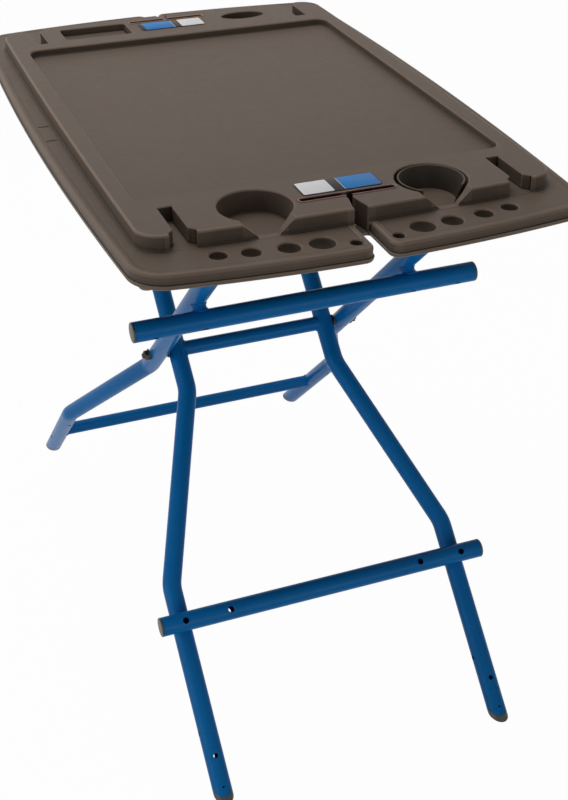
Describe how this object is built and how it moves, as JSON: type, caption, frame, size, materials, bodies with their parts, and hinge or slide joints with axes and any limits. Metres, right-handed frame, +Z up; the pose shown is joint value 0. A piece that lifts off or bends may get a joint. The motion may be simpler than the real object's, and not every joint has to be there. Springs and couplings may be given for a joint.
{
  "type": "portable workbench",
  "caption": "Folding workbench with a moulded plastic top, tool holes, cup wells and a tray, on two crossed frames of blue steel tube.",
  "frame": {"origin": "bottom centre of the bounding box, on the floor", "axes": "+Z up, +X to the bench's right-hand side, -Y towards its near end with the cup wells"},
  "size_m": [0.698, 1.1383, 0.9527],
  "materials": {
    "moulded_plastic": "matte",
    "dark_plastic": "satin",
    "liner_plastic": "satin",
    "panel_plastic": "satin",
    "blue_steel": "gloss",
    "black_steel": "satin"
  },
  "bodies": {
    "front_frame": {"front_leg_left": "blue_steel", "front_leg_right": "blue_steel", "front_foot_left": "dark_plastic", "front_foot_right": "dark_plastic", "front_crossbar": "blue_steel", "front_crossbar_plug_left": "dark_plastic", "front_crossbar_plug_right": "dark_plastic", "front_spreader": "blue_steel", "pivot_rod": "black_steel", "pivot_spacer_left": "black_steel", "pivot_spacer_right": "black_steel", "pivot_washer_left": "black_steel", "pivot_washer_right": "black_steel", "pivot_nut_left": "black_steel", "pivot_nut_right": "black_steel"},
    "rear_frame": {"rear_leg_left": "blue_steel", "rear_leg_right": "blue_steel", "rear_foot_left": "dark_plastic", "rear_foot_right": "dark_plastic", "rear_crossbar": "blue_steel", "top_crossbar": "blue_steel", "top_crossbar_plug_left": "dark_plastic", "top_crossbar_plug_right": "dark_plastic", "crossbar_lug_left": "blue_steel", "crossbar_lug_right": "blue_steel"},
    "top": {"worktop": "moulded_plastic", "cup_ring": "moulded_plastic", "slot_liner_near": "liner_plastic", "slot_liner_far": "liner_plastic", "panel_near": "panel_plastic", "panel_far": "panel_plastic", "hinge_bracket_left": "black_steel", "hinge_bracket_right": "black_steel", "hinge_pin_left": "black_steel", "hinge_pin_right": "black_steel", "leg_socket_left": "dark_plastic", "leg_socket_right": "dark_plastic", "bracket_screw_1_left": "black_steel", "bracket_screw_1_right": "black_steel", "bracket_screw_2_left": "black_steel", "bracket_screw_2_right": "black_steel", "socket_screw_1_left": "black_steel", "socket_screw_1_right": "black_steel", "socket_screw_2_left": "black_steel", "socket_screw_2_right": "black_steel"}
  },
  "joints": [
    {"name": "top_tilt", "type": "hinge", "parent": "front_frame", "child": "top", "pos_m": [0, 0.38979, 0.8835], "axis": [-1, 0, 0], "range_deg": [0, 90]},
    {"name": "leg_fold", "type": "hinge", "parent": "front_frame", "child": "rear_frame", "pos_m": [0, -0.00375, 0.512], "axis": [-1, 0, 0], "range_deg": [0, 90]}
  ],
  "couplings": [
    {"joint": "leg_fold", "follows": "top_tilt", "ratio": 1}
  ]
}
